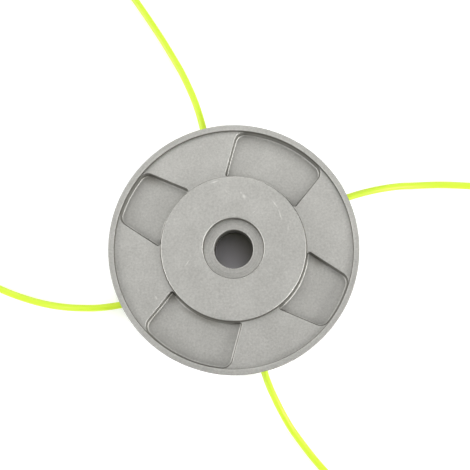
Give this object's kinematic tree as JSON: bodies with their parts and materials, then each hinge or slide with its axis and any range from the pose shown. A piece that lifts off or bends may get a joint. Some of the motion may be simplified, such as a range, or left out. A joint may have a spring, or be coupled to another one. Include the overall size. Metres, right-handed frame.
{
  "type": "fixed line trimmer head",
  "caption": "Round cast aluminium trimmer head with a raised hub, pilot recess, shaft bore and cast pockets, holding fixed nylon lines bent through holes in its rim.",
  "frame": {"origin": "on the shaft bore's axis, at the flat underside that the head rests on", "axes": "+Z along the shaft bore from the underside to the gearbox face, +X to the right and +Y upwards in the picture"},
  "size_m": [0.2946, 0.2762, 0.02],
  "materials": {
    "cast_aluminium": "tumbled casting",
    "nylon_line": "extruded nylon monofilament"
  },
  "bodies": {
    "root": {"head_casting": "cast_aluminium", "trimmer_line_a": "nylon_line", "trimmer_line_b": "nylon_line"}
  },
  "joints": []
}
